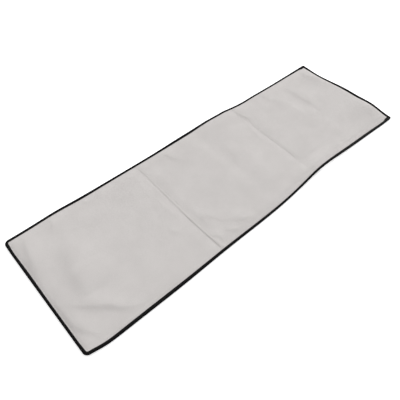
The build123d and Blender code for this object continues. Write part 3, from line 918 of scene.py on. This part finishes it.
def binding():
    """Tape round each end panel in one run, and along both edges of the middle panel."""
    made = {}
    for name, side in (("left", -1), ("right", 1)):
        joint, end = side * LAP_X, side * LENGTH_HALF
        made[name] = tape_piece(
            f"{name}_edge_tape",
            [
                (joint, -WIDTH_HALF, 0, 1), (end, -WIDTH_HALF, -side, 1),
                (end, WIDTH_HALF, -side, -1), (joint, WIDTH_HALF, 0, -1),
            ],
            window=(GLAND_LOW, GLAND_HIGH) if name == "right" else None,
        )
    for name, side in (("near", -1), ("far", 1)):
        made[name] = tape_piece(
            f"middle_{name}_tape",
            [(-LAP_X, side * WIDTH_HALF, 0, -side), (LAP_X, side * WIDTH_HALF, 0, -side)],
        )
    return made


# --- Thread ---------------------------------------------------------------------------------------------


STITCH_SUNK = 0.12  # how far a stitch's ends sink into the cloth


def stitches(name, route, surface, material, pitch=5.0, length=3.6, width=0.75, rise=0.35):
    """A row of thread stitches along a route of the plan, lying on a surface."""
    route = np.array(route, float)
    gaps = np.hypot(*np.diff(route, axis=0).T)
    run = np.concatenate([[0], np.cumsum(gaps)])
    points, faces, places = [], [], []
    rings, sides = 4, 6
    for start in np.arange(pitch / 2, run[-1] - length, pitch):
        at = start + length * np.linspace(0, 1, rings)
        x, y = np.interp(at, run, route[:, 0]), np.interp(at, run, route[:, 1])
        moved_x, moved_y, height = surface(x, y)
        heading = np.array([moved_x[-1] - moved_x[0], moved_y[-1] - moved_y[0]])
        heading /= max(np.hypot(*heading), 1e-9)
        first = len(points)
        for i, share in enumerate(np.linspace(0, 1, rings)):
            size = math.sin(math.pi * (0.12 + 0.76 * share))
            middle = height[i] + rise * size - STITCH_SUNK
            for k in range(sides):
                angle = 2 * math.pi * k / sides
                across, up = width / 2 * size * math.cos(angle), width / 2 * size * math.sin(angle)
                aside_x, aside_y = -heading[1] * across, heading[0] * across
                points.append((moved_x[i] + aside_x, moved_y[i] + aside_y, middle + up))
                places.append((at[i], across))
        for i in range(rings - 1):
            for k in range(sides):
                a, b = first + i * sides + k, first + i * sides + (k + 1) % sides
                faces.append((a, b, b + sides, a + sides))
        faces.append(tuple(first + k for k in reversed(range(sides))))
        faces.append(tuple(first + (rings - 1) * sides + k for k in range(sides)))
    return make_mesh(name, points, faces, places, material)


def tape_top(x, y):
    """The surface that the tape's stitches lie on."""
    moved_x, moved_y, lift = lie(x, y, BACK_SWAY_REACH, BACK_LIFT_REACH)
    return moved_x, moved_y, TAPE_HEIGHT - 0.05 + lift


def tape_thread():
    """A row of stitches along the inner edge of every tape."""
    inset = TAPE_WIDTH - 1.9
    y = WIDTH_HALF - inset
    made = {}
    for name, side in (("left", -1), ("right", 1)):
        joint, end = side * LAP_X, side * (LENGTH_HALF - inset)
        route = [(joint, -y), (end, -y), (end, y), (joint, y)]
        made[name] = stitches(f"{name}_tape_thread", route, tape_top, THREAD_DARK)
    for name, side in (("near", -1), ("far", 1)):
        route = [(-LAP_X, side * y), (LAP_X, side * y)]
        made[name] = stitches(f"middle_{name}_tape_thread", route, tape_top, THREAD_DARK)
    return made


def fold_thread():
    """Two rows beside each fold line, and one along each lapped hem."""
    made = {}
    y = WIDTH_HALF - TAPE_WIDTH - 1.5
    for name, side in (("left", -1), ("right", 1)):
        ys = np.linspace(-y, y, 60)
        rows = [(side * (SEAM + gap) + seam_shift(side, ys), ys) for gap in (-4.0, 4.0)]
        rows.append((np.full(60, side * (LAP_X + 1.8)), ys))
        pieces = []
        for i, (xs, line) in enumerate(rows):
            piece = stitches(
                f"{name}_fold_thread_{i + 1}", list(zip(xs, line)), back_surface, THREAD_LIGHT,
                pitch=4.4, length=3.2,
            )
            pieces.append(piece)
        made[name] = pieces
    return made


# --- Build ------------------------------------------------------------------------------------------------


def hinge_cloth(piece):
    """Bakes a piece's placement into its mesh; the piece itself is not bent at a fold."""
    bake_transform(piece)


dress_cad_nodes()
settle_canvas()
backs, fronts, tapes = back_covers(), front_covers(), binding()
tape_rows, fold_rows = tape_thread(), fold_thread()

for name in ("left", "right"):
    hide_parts(f"{name}_back_cover", f"{name}_fold_web_back")
    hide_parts(f"{name}_front_cover", f"{name}_fold_web_front")
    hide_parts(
        f"{name}_near_binding", f"{name}_far_binding", f"{name}_end_binding",
        f"{name}_fold_binding",
    )
    for piece in (backs[name], *fronts[name], tapes[name], tape_rows[name], *fold_rows[name]):
        hinge_cloth(piece)

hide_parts("middle_back_cover")
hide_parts("middle_front_cover")
for side in ("near", "far"):
    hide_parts(f"middle_{side}_binding")
middle_pieces = [backs["middle"], *fronts["middle"]]
middle_pieces += [group[side] for group in (tapes, tape_rows) for side in ("near", "far")]
for piece in middle_pieces:
    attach(piece, "middle_panel")


# --- Stage, light and camera ----------------------------------------------------------------------------


def floor():
    """A plain pale floor, just under the blanket."""
    mesh = bpy.data.meshes.new("floor")
    half = 9.0
    corners = [(-half, -half, 0), (half, -half, 0), (half, half, 0), (-half, half, 0)]
    mesh.from_pydata(corners, [], [(0, 1, 2, 3)])
    material, _, shader = new_material("floor")
    shader.inputs["Base Color"].default_value = (0.9, 0.9, 0.9, 1)
    shader.inputs["Roughness"].default_value = 0.9
    shader.inputs["Emission Color"].default_value = (1, 1, 1, 1)
    shader.inputs["Emission Strength"].default_value = 0.45
    mesh.materials.append(material)
    piece = bpy.data.objects.new("floor", mesh)
    piece.location.z = -0.0006
    bpy.context.scene.collection.objects.link(piece)


SUN_FROM = Vector((2.3, 1.2, 1.3))  # low and from the far right, so that creases show
SUN_STRENGTH, SUN_WIDTH = 4.1, math.radians(22)
SURROUND_STRENGTH = 0.7


def studio():
    """An even pale surround and one broad, distant light."""
    world = bpy.data.worlds.new("studio")
    world.use_nodes = True
    world.node_tree.nodes["Background"].inputs["Color"].default_value = (1, 1, 1, 1)
    world.node_tree.nodes["Background"].inputs["Strength"].default_value = SURROUND_STRENGTH
    bpy.context.scene.world = world
    data = bpy.data.lights.new("key", "SUN")
    data.energy = SUN_STRENGTH
    data.angle = SUN_WIDTH
    light = bpy.data.objects.new("key", data)
    light.rotation_euler = (-SUN_FROM).to_track_quat("-Z", "Y").to_euler()
    bpy.context.scene.collection.objects.link(light)
    bpy.context.scene.view_settings.view_transform = "Standard"


CAMERA_PLACE = (-0.9421, -0.7091, 1.3329)
CAMERA_HEADING = math.radians(42.2)
CAMERA_TILT = math.radians(53.3)
CAMERA_ROLL = math.radians(6.4)
CAMERA_LENS = 36.0


def camera():
    data = bpy.data.cameras.new("camera")
    data.lens = CAMERA_LENS
    data.clip_start = 0.01
    forward = Vector((
        math.cos(CAMERA_TILT) * math.cos(CAMERA_HEADING),
        math.cos(CAMERA_TILT) * math.sin(CAMERA_HEADING), -math.sin(CAMERA_TILT),
    ))
    level = Vector((math.sin(CAMERA_HEADING), -math.cos(CAMERA_HEADING), 0))
    upright = level.cross(forward)
    right = math.cos(CAMERA_ROLL) * level + math.sin(CAMERA_ROLL) * upright
    up = -math.sin(CAMERA_ROLL) * level + math.cos(CAMERA_ROLL) * upright
    turn = Matrix((right, up, -forward)).transposed().to_4x4()
    cam = bpy.data.objects.new("camera", data)
    cam.matrix_world = Matrix.Translation(CAMERA_PLACE) @ turn
    bpy.context.scene.collection.objects.link(cam)
    bpy.context.scene.camera = cam


floor()
studio()
camera()
